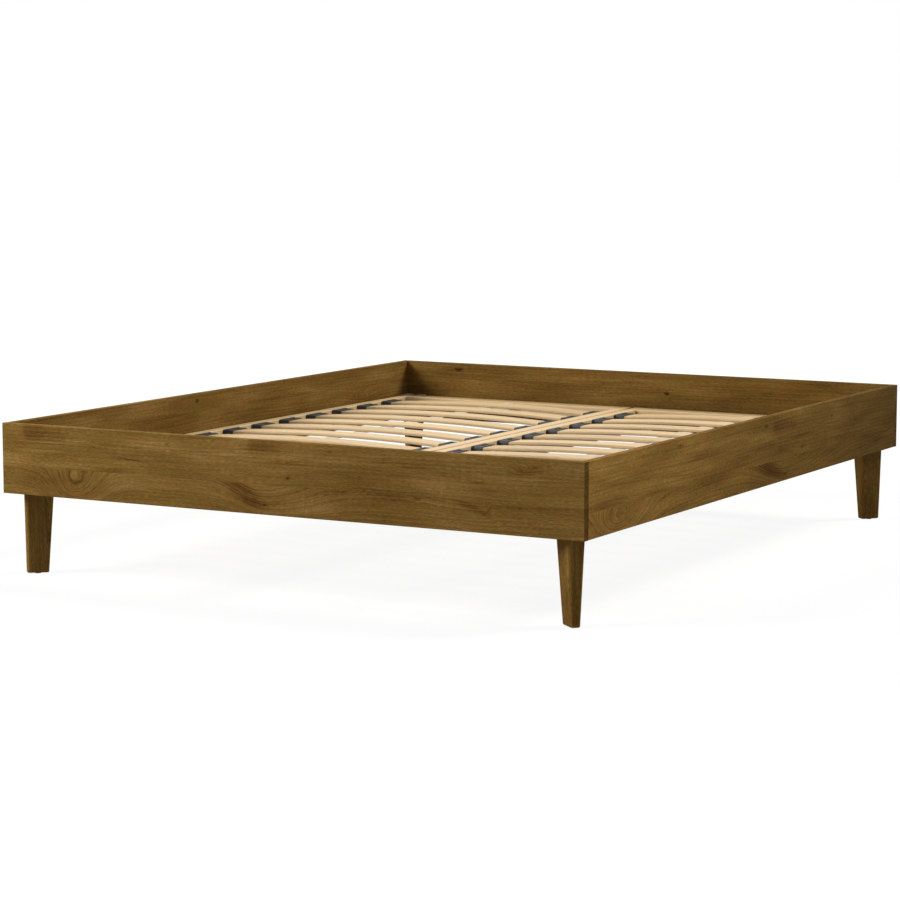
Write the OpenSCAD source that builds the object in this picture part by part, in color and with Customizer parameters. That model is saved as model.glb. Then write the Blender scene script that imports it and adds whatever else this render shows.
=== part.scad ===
// Double bed frame: four boards on four tapered corner legs, joined by steel
// corner brackets. A steel beam and two ledges carry two sprung slatted bases,
// which lie loose inside the boards and lift out.
// The origin is on the floor under the middle of the bed. +Y is the head end.

/* [Mattress] */
// Width of the mattress that the boards enclose
mattress_w = 1600; // [1400:50:2000]
// Length of the mattress
mattress_l = 2000; // [1900:10:2200]
// Gap left between the mattress and each board
mattress_gap = 5; // [2:1:15]

/* [Boards] */
// Thickness of the four boards
board_t = 20; // [18:1:30]
// Height of the four boards
board_h = 180; // [150:5:240]
// Radius of the boards' eased edges
board_edge_r = 1.5; // [0.5:0.5:4]
// Diameter of the dowels between the boards
dowel_d = 8; // [6:1:10]
// Length of each dowel
dowel_l = 35; // [30:1:40]
// Depth that each dowel enters the cross board
dowel_depth = 12; // [8:1:15]
// Height of the dowels above the lower edge and below the upper edge
dowel_inset = 45; // [20:1:60]

/* [Legs] */
// Height of the legs, from the floor to the boards' lower edge
leg_h = 210; // [120:5:300]
// Distance from the bed's corner to the leg, along the corner's diagonal
leg_inset = 54; // [50:1:70]
// Length of a leg's top, along the diagonal
leg_top_l = 72; // [60:1:90]
// Width of a leg's top at its outer end
leg_top_outer_w = 44; // [30:1:60]
// Width of a leg's top at its inner end
leg_top_inner_w = 56; // [30:1:70]
// Radius of the upright edges at the top
leg_top_r = 9; // [4:1:12]
// How far the outer end leans inwards at the foot
leg_lean = 2; // [0:1:10]
// Length of a leg's foot, along the diagonal
leg_foot_l = 56; // [40:1:70]
// Width of a leg's foot at its outer end
leg_foot_outer_w = 24; // [22:1:40]
// Width of a leg's foot at its inner end
leg_foot_inner_w = 31; // [24:1:50]
// Radius of the upright edges at the foot
leg_foot_r = 7; // [4:1:9]
// Radius of the edge round the underside
leg_under_r = 3; // [1:0.5:4]
// Diameter of the glide under each leg
glide_d = 18; // [12:1:20]
// Thickness of the glide
glide_t = 2; // [1:0.5:5]
// Diameter of the glide's pin
glide_pin_d = 3; // [2:0.5:5]
// Length of the glide's pin
glide_pin_l = 14; // [8:1:25]

/* [Corner brackets] */
// Thickness of the brackets' steel
bracket_t = 3; // [2:0.5:5]
// Height of a bracket
bracket_h = 76; // [60:1:79]
// Length of each flange along its board
flange_l = 70; // [60:1:90]
// Outer radius of the bend between the flanges
bend_r = 5; // [4:0.5:8]
// Steel left round the top of the leg
plate_margin = 6; // [2:1:12]
// Distance of the bolts from the boards' inner corner
bolt_along = 42; // [30:1:52]
// Height of the lower bolts above the boards' lower edge
bolt_low = 20; // [14:1:26]
// Height of the upper bolts above the boards' lower edge
bolt_high = 57; // [45:1:60]
// Distance of the leg bolts from the ends of the leg's top
leg_bolt_inset = 20; // [16:1:26]
// Diameter of the bolts
bolt_d = 8; // [6:1:8]
// Length of the bolts' shanks
bolt_l = 15; // [10:1:16]
// Diameter of the bolts' heads
bolt_head_d = 14; // [12:1:16]
// Height of the bolts' heads
bolt_head_h = 4.4; // [3:0.2:5]
// Hexagon key size of the bolts
bolt_key = 5; // [4:1:6]
// Diameter of the threaded inserts
insert_d = 12; // [10:1:14]
// Length of the threaded inserts
insert_l = 13; // [10:1:15]

/* [Ledges] */
// Height of the bases' seat above the boards' lower edge
seat_rise = 40; // [36:1:50]
// Width of the ledges
ledge_w = 30; // [20:1:40]
// Height of the ledges
ledge_h = 30; // [20:1:34]
// Gap between a ledge and the brackets at its ends
ledge_end_gap = 8; // [2:1:30]
// Number of screws in each ledge
ledge_screws_n = 8; // [4:1:12]
// Distance of the first screw from the ledge's end
ledge_screw_inset = 60; // [20:1:120]
// Length of the ledges' screws
ledge_screw_l = 44; // [42:1:47]
// Diameter of the wood screws
screw_d = 4; // [3:0.5:5]
// Diameter of the wood screws' heads
screw_head_d = 8; // [6:0.5:9]

/* [Centre beam] */
// Width of the beam
beam_w = 60; // [50:1:80]
// Height of the beam
beam_h = 35; // [25:1:37]
// Thickness of the beam's wall
beam_wall = 2; // [1.5:0.5:3]
// Radius of the beam's corners
beam_r = 4; // [3.5:0.5:6]
// Gap between the beam and each hanger's back
beam_end_gap = 1; // [0.5:0.5:4]
// Thickness of the hangers' steel
hanger_t = 2.5; // [2:0.5:3]
// Width of a hanger's back plate
hanger_w = 112; // [100:1:140]
// Height of a hanger's back plate
hanger_h = 44; // [40:1:60]
// Depth of a hanger's cradle
hanger_depth = 30; // [15:1:50]
// Height of the cradle's cheeks
cheek_h = 24; // [10:1:30]
// Length of the hangers' screws
hanger_screw_l = 16; // [12:1:18]

/* [Slatted bases] */
// Gap between a base and the side boards
base_side_gap = 10; // [9:1:14]
// Gap between the two bases
base_mid_gap = 10; // [4:1:20]
// Gap between a base and the head and foot boards
base_end_gap = 25; // [10:1:30]
// Width of the bases' stiles
stile_w = 32; // [28:1:45]
// Height of the bases' stiles
stile_h = 35; // [30:1:45]
// Radius of the stiles' edges
stile_edge_r = 3; // [1:0.5:5]
// Width of the end rails between the stiles
end_rail_w = 60; // [40:1:80]
// Length of the end rails' tenons
tenon_l = 18; // [10:1:24]
// Thickness of the end rails' tenons
tenon_t = 14; // [8:1:18]
// Shoulder at each side of a tenon
tenon_shoulder = 10; // [4:1:15]

/* [Slats] */
// Number of slats in each base
slat_count = 12; // [8:1:12]
// Width of a slat
slat_w = 70; // [50:1:76]
// Thickness of a slat
slat_t = 8; // [6:0.5:10]
// Radius of a slat's long edges
slat_edge_r = 3; // [1:0.5:2.9]
// Rise of a slat's middle above its ends
slat_bow = 12; // [6:1:18]
// Distance of the slats' ends below the top of the stiles
slat_drop = 10; // [9:0.5:14]
// Thickness of the holders' walls
holder_wall = 3; // [2:0.5:4]
// Length of the holders' sleeves
holder_l = 30; // [24:1:45]
// Diameter of the holders' pegs
peg_d = 8; // [6:1:9]
// Length of the holders' pegs
peg_l = 12; // [8:1:18]
// Distance between a holder's two pegs
peg_pitch = 44; // [30:1:48]
// Width of the webbing under the slats
webbing_w = 40; // [20:1:60]
// Thickness of the webbing
webbing_t = 1.5; // [1:0.5:2]
// Length of the webbing's tab on each end rail
webbing_tab = 24; // [10:1:28]

/* [Hidden] */
// Clearances
bolt_fit = 0.1;
dowel_fit = 0.1;
dowel_end_gap = 0.5;
tenon_fit = 0.15;
slat_fit = 0.3;
beam_fit = 0.3;
peg_fit = 0.1;
webbing_fit = 0.1;

// Small fixed forms
dowel_chamfer = 1;
bracket_corner_r = 8;
socket_depth = 2.6;
screw_head_h = 2.4;
screw_recess_w = 1;
recess_share = 0.7;
screw_tip = 5;
sleeve_r = 5;
holder_lip = 4;
window_l = 11;
window_share = 0.62;
pan_head_h = 2.6;
eps = 0.01;

// Frame
inner_w = mattress_w + 2 * mattress_gap;
inner_l = mattress_l + 2 * mattress_gap;
frame_w = inner_w + 2 * board_t;
frame_l = inner_l + 2 * board_t;
seat_z = leg_h + seat_rise;
leg_top_end = leg_inset + leg_top_l;
diag = sqrt(1 / 2);
plate_reach = (leg_top_end + leg_top_inner_w / 2) * diag + plate_margin;
plate_cut = (leg_top_end + plate_margin) / diag;
insert_bore_l = insert_l + 1;

// Ledges and beam
ledge_l = inner_l - 2 * (flange_l + ledge_end_gap);
beam_l = inner_l - 2 * (hanger_t + beam_end_gap);
beam_z = seat_z - beam_h;
cradle_w = beam_w + 2 * (beam_fit + hanger_t);
hanger_screw_x = (hanger_w + cradle_w) / 4;

// Bases
base_w = (inner_w - base_mid_gap) / 2 - base_side_gap;
base_l = inner_l - 2 * base_end_gap;
base_x = (base_mid_gap + base_w) / 2;
span = base_w - 2 * stile_w;
slat_l = span - 2 * (holder_wall + slat_fit);
slat_r = (slat_l * slat_l / 4 + slat_bow * slat_bow) / (2 * slat_bow);
slat_z = stile_h - slat_drop;
slat_gap = (base_l - 2 * end_rail_w - slat_count * slat_w) / (slat_count + 1);
sleeve_rise = slat_rise(holder_l - holder_wall);
sleeve_h = slat_t + sleeve_rise + 2 * holder_wall;
sleeve_w = slat_w + 2 * holder_wall;
webbing_z = slat_z + slat_bow - slat_t / 2 - arc_drop(slat_r - slat_t / 2, webbing_w / 2) - webbing_fit;

oak = [0.47, 0.37, 0.20];
oak_leg = [0.42, 0.31, 0.16];
pine = [0.80, 0.66, 0.45];
birch = [0.83, 0.71, 0.52];
zinc = [0.70, 0.71, 0.72];
grey_paint = [0.30, 0.31, 0.32];
black_plastic = [0.10, 0.10, 0.11];

function side_nodes(side) = concat(
    [for (part = ["outer_stile", "inner_stile", "head_rail", "foot_rail", "slat_holders", "webbing"])
        str(side, "_", part)],
    [for (i = [1:slat_count]) str(side, "_slat_", i)]
);

// Height gained by a circle of radius r over a half chord x, below its crown
function arc_drop(r, x) = r - sqrt(r * r - x * x);

// Height of a slat's middle line above its end, at a distance d from the end
function slat_rise(d) = slat_bow - arc_drop(slat_r, slat_l / 2 - d);

// Middle of slat i along the base
function slat_y(i) = end_rail_w - base_l / 2 + i * slat_gap + (i - 0.5) * slat_w;

// Place of ledge screw i along the bed
function ledge_screw_y(i) =
    ledge_screw_inset - ledge_l / 2 + i * (ledge_l - 2 * ledge_screw_inset) / (ledge_screws_n - 1);

module rounded_rect(w, h, r) {
    square([w - 2 * r, h], center = true);
    square([w, h - 2 * r], center = true);
    for (x = [-1, 1], y = [-1, 1])
        translate([x * (w / 2 - r), y * (h / 2 - r)])
            circle(r, $fn = 32);
}

// Puts a corner's own frame, with X and Y running inwards, at one corner of the bed
module at_corner(x_side, y_side)
    translate([x_side * frame_w / 2, y_side * frame_l / 2, 0])
        mirror([max(x_side, 0), 0, 0])
            mirror([0, max(y_side, 0), 0])
                children();

module at_all_corners()
    for (x_side = [-1, 1], y_side = [-1, 1])
        at_corner(x_side, y_side)
            children();

// Bolt places in a corner's frame: Z runs into the wood, from its surface
module at_cross_board_bolts()
    for (z = [bolt_low, bolt_high])
        translate([board_t + bolt_along, board_t, leg_h + z])
            rotate([90, 0, 0])
                children();

module at_side_board_bolts()
    for (z = [bolt_low, bolt_high])
        translate([board_t, board_t + bolt_along, leg_h + z])
            rotate([0, -90, 0])
                children();

module at_leg_bolts()
    for (u = [leg_inset + leg_bolt_inset, leg_top_end - leg_bolt_inset])
        translate([u * diag, u * diag, leg_h])
            rotate([180, 0, 0])
                children();

module at_corner_bolts() {
    at_cross_board_bolts() children();
    at_side_board_bolts() children();
    at_leg_bolts() children();
}

// Dowel places in a corner's frame: Z runs from the cross board's joint into the side board
module at_dowels()
    for (z = [dowel_inset, board_h - dowel_inset])
        translate([board_t / 2, board_t, leg_h + z])
            rotate([-90, 0, 0])
                children();

module insert_bore()
    translate([0, 0, -eps])
        cylinder(insert_bore_l + eps, d = insert_d + 2 * bolt_fit, $fn = 48);

module dowel_bore()
    translate([0, 0, -dowel_depth - dowel_end_gap])
        cylinder(dowel_l + 2 * dowel_end_gap, d = dowel_d + 2 * dowel_fit, $fn = 32);

// Boards

module cross_board(y_side)
    color(oak)
    difference() {
        translate([0, y_side * (frame_l - board_t) / 2, leg_h + board_h / 2])
            intersection() {
                rotate([90, 0, 90])
                    linear_extrude(frame_w, center = true)
                        rounded_rect(board_t, board_h, board_edge_r);
                linear_extrude(board_h + 2, center = true)
                    rounded_rect(frame_w, board_t, board_edge_r);
            }
        for (x_side = [-1, 1])
            at_corner(x_side, y_side) {
                at_cross_board_bolts() insert_bore();
                at_dowels() dowel_bore();
            }
        at_hanger(y_side) at_hanger_screws() screw_bore(hanger_screw_l);
    }

module side_board(x_side)
    color(oak)
    difference() {
        translate([x_side * (frame_w - board_t) / 2, 0, leg_h + board_h / 2])
            rotate([90, 0, 0])
                linear_extrude(inner_l, center = true)
                    rounded_rect(board_t, board_h, board_edge_r);
        for (y_side = [-1, 1])
            at_corner(x_side, y_side) {
                at_side_board_bolts() insert_bore();
                at_dowels() dowel_bore();
            }
        at_ledge_screws(x_side) screw_bore(ledge_screw_l);
    }

module corner_dowels()
    color(birch)
    at_all_corners()
        at_dowels()
            translate([0, 0, -dowel_depth]) {
                cylinder(dowel_chamfer, dowel_d / 2 - dowel_chamfer, dowel_d / 2, $fn = 32);
                translate([0, 0, dowel_chamfer])
                    cylinder(dowel_l - 2 * dowel_chamfer, d = dowel_d, $fn = 32);
                translate([0, 0, dowel_l - dowel_chamfer])
                    cylinder(dowel_chamfer, dowel_d / 2, dowel_d / 2 - dowel_chamfer, $fn = 32);
            }

// Legs

// One level of the leg: four rounded corners on the diagonal
module leg_level(z, start, length, outer_w, inner_w, r)
    for (side = [-1, 1]) {
        translate([start + r, side * (outer_w / 2 - r), z])
            cylinder(eps, r = r, $fn = 32);
        translate([start + length - r, side * (inner_w / 2 - r), z])
            cylinder(eps, r = r, $fn = 32);
    }

// The underside's edge is rounded in steps of the angle a, by drawing each level in
module leg_form()
    hull() {
        leg_level(leg_h - eps, leg_inset, leg_top_l, leg_top_outer_w, leg_top_inner_w, leg_top_r);
        for (a = [0:30:90]) {
            draw_in = leg_under_r * (1 - sin(a));
            leg_level(
                glide_t + leg_under_r * (1 - cos(a)),
                leg_inset + leg_lean + draw_in,
                leg_foot_l - 2 * draw_in,
                leg_foot_outer_w - 2 * draw_in,
                leg_foot_inner_w - 2 * draw_in,
                leg_foot_r - draw_in
            );
        }
    }

// Middle of the leg's foot, along the diagonal
foot_mid = leg_inset + leg_lean + leg_foot_l / 2;

module leg(x_side, y_side)
    color(oak_leg)
    at_corner(x_side, y_side)
        difference() {
            rotate([0, 0, 45])
                leg_form();
            at_leg_bolts() insert_bore();
            translate([foot_mid * diag, foot_mid * diag, glide_t - eps])
                cylinder(glide_pin_l + 1, d = glide_pin_d + 2 * peg_fit, $fn = 24);
        }

module leg_glides()
    color(black_plastic)
    at_all_corners()
        translate([foot_mid * diag, foot_mid * diag, 0]) {
            cylinder(glide_t / 2, glide_d / 2 - glide_t / 2, glide_d / 2, $fn = 48);
            translate([0, 0, glide_t / 2])
                cylinder(glide_t / 2, d = glide_d, $fn = 48);
            cylinder(glide_t + glide_pin_l, d = glide_pin_d, $fn = 24);
        }

// Corner brackets and their bolts

// Plan of the two flanges, bent round the boards' inner corner
module flange_plan() {
    inner_r = bend_r - bracket_t;
    translate([bend_r, 0])
        square([flange_l - bend_r, bracket_t]);
    translate([0, bend_r])
        square([bracket_t, flange_l - bend_r]);
    translate([bend_r, bend_r])
        difference() {
            circle(bend_r, $fn = 48);
            circle(inner_r, $fn = 48);
            translate([0, -2 * bend_r])
                square([2 * bend_r, 4 * bend_r]);
            translate([-2 * bend_r, 0])
                square([4 * bend_r, 2 * bend_r]);
        }
}

// Plan of the plate over the leg: a square corner, cut off behind the leg
module plate_plan() {
    reach = plate_reach - board_t;
    nose = plate_cut - plate_reach - board_t;
    polygon([
        [bend_r, 0],
        [reach, 0],
        [reach, nose],
        [nose, reach],
        [0, reach],
        [0, bend_r]
    ]);
}

// Rounds the flanges' upper outer corners, seen square to one flange
module flange_side() {
    square([flange_l, bracket_h - bracket_corner_r]);
    square([flange_l - bracket_corner_r, bracket_h]);
    translate([flange_l - bracket_corner_r, bracket_h - bracket_corner_r])
        circle(bracket_corner_r, $fn = 48);
}

module bracket(x_side, y_side)
    color(zinc)
    at_corner(x_side, y_side)
        difference() {
            translate([board_t, board_t, leg_h]) {
                linear_extrude(bracket_t)
                    plate_plan();
                intersection() {
                    linear_extrude(bracket_h)
                        flange_plan();
                    translate([0, flange_l, 0])
                        rotate([90, 0, 0])
                            linear_extrude(flange_l)
                                flange_side();
                    rotate([90, 0, 90])
                        linear_extrude(flange_l)
                            flange_side();
                }
            }
            at_corner_bolts()
                translate([0, 0, -bracket_t - 1])
                    cylinder(bracket_t + 2, d = bolt_d + 2 * bolt_fit, $fn = 48);
        }

module frame_bolts()
    color(zinc)
    at_all_corners()
        at_corner_bolts()
            translate([0, 0, -bracket_t])
                difference() {
                    union() {
                        cylinder(bolt_l, d = bolt_d, $fn = 48);
                        translate([0, 0, -bolt_head_h / 2])
                            cylinder(bolt_head_h / 2, d = bolt_head_d, $fn = 48);
                        translate([0, 0, -bolt_head_h])
                            cylinder(bolt_head_h / 2, bolt_head_d / 2 - bolt_head_h / 2, bolt_head_d / 2, $fn = 48);
                    }
                    translate([0, 0, -bolt_head_h - 1])
                        cylinder(socket_depth + 1, d = bolt_key / cos(30), $fn = 6);
                }

module threaded_inserts()
    color(zinc)
    at_all_corners()
        at_corner_bolts()
            difference() {
                cylinder(insert_l, d = insert_d, $fn = 48);
                translate([0, 0, -1])
                    cylinder(insert_l + 2, d = bolt_d + 2 * bolt_fit, $fn = 48);
            }

// Ledges and their screws

// Screw places on one ledge: Z runs outwards, from the ledge's inner face
module at_ledge_screws(x_side)
    for (i = [0:ledge_screws_n - 1])
        translate([x_side * (inner_w / 2 - ledge_w), ledge_screw_y(i), seat_z - ledge_h / 2])
            rotate([0, x_side * 90, 0])
                children();

module wood_screw(length)
    difference() {
        union() {
            cylinder(screw_head_h, screw_head_d / 2, screw_d / 2, $fn = 32);
            cylinder(length - screw_tip, d = screw_d, $fn = 32);
            translate([0, 0, length - screw_tip])
                cylinder(screw_tip, screw_d / 2, screw_d / 10, $fn = 32);
        }
        for (a = [0, 90])
            rotate([0, 0, a])
                translate([-screw_d / 2, -screw_recess_w / 2, -1])
                    cube([screw_d, screw_recess_w, 1 + screw_head_h * recess_share]);
    }

module screw_bore(length)
    translate([0, 0, -1])
        cylinder(length + 2, d = screw_d + 2 * bolt_fit, $fn = 32);

module ledge(x_side)
    color(pine)
    difference() {
        translate([x_side * (inner_w - ledge_w) / 2, 0, seat_z - ledge_h / 2])
            rotate([90, 0, 0])
                linear_extrude(ledge_l, center = true)
                    rounded_rect(ledge_w, ledge_h, board_edge_r);
        at_ledge_screws(x_side) {
            screw_bore(ledge_screw_l);
            translate([0, 0, -eps])
                cylinder(screw_head_h, screw_head_d / 2 + bolt_fit, screw_d / 2 + bolt_fit, $fn = 32);
        }
    }

module ledge_screws()
    color(zinc)
    for (x_side = [-1, 1])
        at_ledge_screws(x_side)
            wood_screw(ledge_screw_l);

// Centre beam and its hangers

module centre_beam()
    color(grey_paint)
    translate([0, 0, beam_z + beam_h / 2])
        rotate([90, 0, 0])
            linear_extrude(beam_l, center = true)
                difference() {
                    rounded_rect(beam_w, beam_h, beam_r);
                    rounded_rect(beam_w - 2 * beam_wall, beam_h - 2 * beam_wall, beam_r - beam_wall);
                }

// A hanger's own frame: Y runs inwards from the cross board's face
module at_hanger(y_side)
    translate([0, y_side * inner_l / 2, beam_z - hanger_t])
        mirror([0, max(y_side, 0), 0])
            children();

// Screw places in a hanger's frame: Z runs into the board, from the back plate's face
module at_hanger_screws()
    for (x = [-1, 1], z = [0.25, 0.75])
        translate([x * hanger_screw_x, hanger_t, z * hanger_h])
            rotate([90, 0, 0])
                children();

module beam_hanger(y_side)
    color(zinc)
    at_hanger(y_side)
        difference() {
            union() {
                translate([0, hanger_t, hanger_h / 2])
                    rotate([90, 0, 0])
                        linear_extrude(hanger_t)
                            rounded_rect(hanger_w, hanger_h, bracket_corner_r);
                translate([0, hanger_depth, (hanger_t + cheek_h) / 2])
                    rotate([90, 0, 0])
                        linear_extrude(hanger_depth)
                            square([cradle_w, hanger_t + cheek_h], center = true);
            }
            translate([0, hanger_depth / 2 + hanger_t, hanger_t + hanger_h / 2])
                cube([cradle_w - 2 * hanger_t, hanger_depth, hanger_h], center = true);
            at_hanger_screws()
                screw_bore(hanger_screw_l);
        }

module hanger_screws()
    color(zinc)
    for (y_side = [-1, 1])
        at_hanger(y_side)
            at_hanger_screws()
                difference() {
                    union() {
                        translate([0, 0, -pan_head_h])
                            cylinder(pan_head_h, d = screw_head_d, $fn = 32);
                        cylinder(hanger_screw_l - screw_tip, d = screw_d, $fn = 32);
                        translate([0, 0, hanger_screw_l - screw_tip])
                            cylinder(screw_tip, screw_d / 2, screw_d / 10, $fn = 32);
                    }
                    for (a = [0, 90])
                        rotate([0, 0, a])
                            translate([-screw_d / 2, -screw_recess_w / 2, -pan_head_h - 1])
                                cube([screw_d, screw_recess_w, 1 + pan_head_h * recess_share]);
                }

// Slatted bases. A base's own frame has its origin at the middle of its underside

module at_base(x_side)
    translate([x_side * base_x, 0, seat_z])
        children();

// Both end rails' tenons, grown by fit for the mortises
module tenons(fit)
    for (y_side = [-1, 1])
        translate([0, y_side * (base_l - end_rail_w) / 2, stile_h / 2])
            cube([
                span + 2 * tenon_l + 2 * fit,
                end_rail_w - 2 * tenon_shoulder + 2 * fit,
                tenon_t + 2 * fit
            ], center = true);

// Places of the holders: X runs from a stile's inner face into the base
module at_holders(x_side)
    for (i = [1:slat_count])
        translate([x_side * span / 2, slat_y(i), slat_z])
            mirror([max(x_side, 0), 0, 0])
                children();

module at_pegs()
    for (y = [-1, 1])
        translate([0, y * peg_pitch / 2, 0])
            rotate([0, -90, 0])
                children();

// The stile on one side of a base: -1 for its left, 1 for its right
module stile(x_side)
    color(birch)
    difference() {
        translate([x_side * (base_w - stile_w) / 2, 0, stile_h / 2])
            rotate([90, 0, 0])
                linear_extrude(base_l, center = true)
                    rounded_rect(stile_w, stile_h, stile_edge_r);
        tenons(tenon_fit);
        at_holders(x_side)
            at_pegs()
                translate([0, 0, -1])
                    cylinder(peg_l + 1.5, d = peg_d + 2 * peg_fit, $fn = 32);
    }

module end_rail(y_side)
    color(birch) {
        translate([0, y_side * (base_l - end_rail_w) / 2, stile_h / 2])
            rotate([90, 0, 90])
                linear_extrude(span, center = true)
                    rounded_rect(end_rail_w, stile_h, stile_edge_r);
        intersection() {
            tenons(0);
            translate([0, y_side * base_l / 2, stile_h / 2])
                cube([base_w, base_l / 2, stile_h], center = true);
        }
    }

// A bowed strip, bent about Y. It is grown all round by fit for the holders' pockets
module slat_form(fit) {
    half_angle = asin(slat_l / 2 / slat_r) + fit / slat_r * 180 / PI;
    translate([0, 0, slat_z + slat_bow - slat_r])
        rotate([90, 0, 0])
            rotate([0, 0, 90 - half_angle])
                rotate_extrude(angle = 2 * half_angle, $fn = 2400)
                    translate([slat_r, 0])
                        rounded_rect(slat_t + 2 * fit, slat_w + 2 * fit, slat_edge_r + fit);
}

module slat(i)
    color(birch)
    translate([0, slat_y(i), 0])
        slat_form(0);

module holder_form() {
    rotate([90, 0, 90])
        linear_extrude(holder_wall)
            rounded_rect(sleeve_w + 2 * holder_lip, 2 * slat_drop - 1, sleeve_r);
    rotate([90, 0, 90])
        linear_extrude(holder_l)
            translate([0, sleeve_rise / 2])
                rounded_rect(sleeve_w, sleeve_h, sleeve_r);
    at_pegs()
        cylinder(peg_l, d = peg_d, $fn = 32);
}

module slat_holders()
    color(black_plastic)
    difference() {
        for (x_side = [-1, 1])
            at_holders(x_side)
                difference() {
                    holder_form();
                    translate([(holder_wall + holder_l) / 2, 0, 0])
                        linear_extrude(4 * sleeve_h, center = true)
                            rounded_rect(window_l, window_share * slat_w, window_l / 2 - 0.5);
                }
        for (i = [1:slat_count])
            translate([0, slat_y(i), 0])
                slat_form(slat_fit);
    }

module webbing()
    color("ivory")
    rotate([90, 0, 90])
        linear_extrude(webbing_w, center = true) {
            run = base_l - 2 * end_rail_w;
            translate([-run / 2, webbing_z - webbing_t])
                square([run, webbing_t]);
            for (end = [-1, 1])
                translate([end * (run - webbing_t) / 2, webbing_z - webbing_tab / 2])
                    square([webbing_t, webbing_tab], center = true);
        }

// The model

cross_board(-1);  // foot_board
cross_board(1);  // head_board
side_board(-1);  // left_side_board
side_board(1);  // right_side_board
leg(-1, -1);  // foot_left_leg
leg(1, -1);  // foot_right_leg
leg(-1, 1);  // head_left_leg
leg(1, 1);  // head_right_leg
bracket(-1, -1);  // foot_left_bracket
bracket(1, -1);  // foot_right_bracket
bracket(-1, 1);  // head_left_bracket
bracket(1, 1);  // head_right_bracket
leg_glides();
frame_bolts();
threaded_inserts();
corner_dowels();
ledge(-1);  // left_ledge
ledge(1);  // right_ledge
ledge_screws();
centre_beam();
beam_hanger(1);  // head_beam_hanger
beam_hanger(-1);  // foot_beam_hanger
hanger_screws();
at_base(-1) stile(-1);  // left_outer_stile
at_base(-1) stile(1);  // left_inner_stile
at_base(-1) end_rail(1);  // left_head_rail
at_base(-1) end_rail(-1);  // left_foot_rail
at_base(-1) slat_holders();  // left_slat_holders
at_base(-1) webbing();  // left_webbing
at_base(1) stile(1);  // right_outer_stile
at_base(1) stile(-1);  // right_inner_stile
at_base(1) end_rail(1);  // right_head_rail
at_base(1) end_rail(-1);  // right_foot_rail
at_base(1) slat_holders();  // right_slat_holders
at_base(1) webbing();  // right_webbing
for (i = [1:slat_count]) {
    at_base(-1) slat(i);
    at_base(1) slat(i);
}
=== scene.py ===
"""Low oak bed frame with two sprung slatted bases, finished for a plain studio view."""

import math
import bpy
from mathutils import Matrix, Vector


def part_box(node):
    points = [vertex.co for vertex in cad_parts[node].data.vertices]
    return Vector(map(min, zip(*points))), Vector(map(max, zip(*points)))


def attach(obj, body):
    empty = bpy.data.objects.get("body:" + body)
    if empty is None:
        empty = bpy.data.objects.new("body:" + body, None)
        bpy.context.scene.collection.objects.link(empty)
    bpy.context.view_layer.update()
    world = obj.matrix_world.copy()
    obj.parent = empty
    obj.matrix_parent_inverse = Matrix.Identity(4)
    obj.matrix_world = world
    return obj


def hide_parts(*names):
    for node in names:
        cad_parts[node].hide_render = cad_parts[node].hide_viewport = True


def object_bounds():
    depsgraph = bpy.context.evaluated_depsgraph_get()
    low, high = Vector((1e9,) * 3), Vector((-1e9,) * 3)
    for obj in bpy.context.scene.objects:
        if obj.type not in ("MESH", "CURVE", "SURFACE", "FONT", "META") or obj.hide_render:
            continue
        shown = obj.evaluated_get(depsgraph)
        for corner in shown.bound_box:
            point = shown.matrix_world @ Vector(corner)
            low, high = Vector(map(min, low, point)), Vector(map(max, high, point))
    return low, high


bl_info = {
    "name": "Low oak bed frame",
    "version": (1, 0, 0),
    "blender": (4, 5, 0),
    "location": "3D Viewport > Sidebar > Bed",
    "description": "Gives the bed frame its timber, metal, plastic and webbing, and sets the studio",
    "category": "Object",
}

import bmesh
import bpy
from bpy.props import FloatProperty, FloatVectorProperty, PointerProperty
from mathutils import Matrix, Vector

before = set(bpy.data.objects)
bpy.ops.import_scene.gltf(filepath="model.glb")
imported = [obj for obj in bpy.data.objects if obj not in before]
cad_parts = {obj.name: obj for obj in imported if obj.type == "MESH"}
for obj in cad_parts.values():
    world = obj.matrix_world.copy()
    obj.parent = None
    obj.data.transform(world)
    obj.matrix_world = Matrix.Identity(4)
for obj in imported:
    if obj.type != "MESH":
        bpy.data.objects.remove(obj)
CAD_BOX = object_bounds()
SIDES = ("left", "right")
SLATS = range(1, 13)
QUARTER = math.radians(90)


def srgb(red, green, blue):
    """Linear colour of a paint chip given in 0 to 255 steps."""
    return tuple(
        c / 12.92 if c <= 0.04045 else ((c + 0.055) / 1.055) ** 2.4
        for c in (red / 255, green / 255, blue / 255)
    )


def tints(colour, *shares):
    """Darker and lighter tints of a colour."""
    return (tuple(min(1, share * c) for c in colour) for share in shares)


def chip(name, description, *rgb):
    return FloatVectorProperty(
        name=name, description=description, subtype="COLOR", size=3, min=0, max=1, default=srgb(*rgb)
    )


def length(name, description, default):
    return FloatProperty(name=name, description=description, unit="LENGTH", min=0, default=default)


def share(name, description, default):
    return FloatProperty(
        name=name, description=description, subtype="FACTOR", min=0, max=1, default=default
    )


def angle(name, description, degrees):
    return FloatProperty(
        name=name, description=description, subtype="ANGLE", default=math.radians(degrees)
    )


def power(name, description, watts):
    return FloatProperty(name=name, description=description, unit="POWER", min=0, default=watts)


# Sizes and colours


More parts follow.
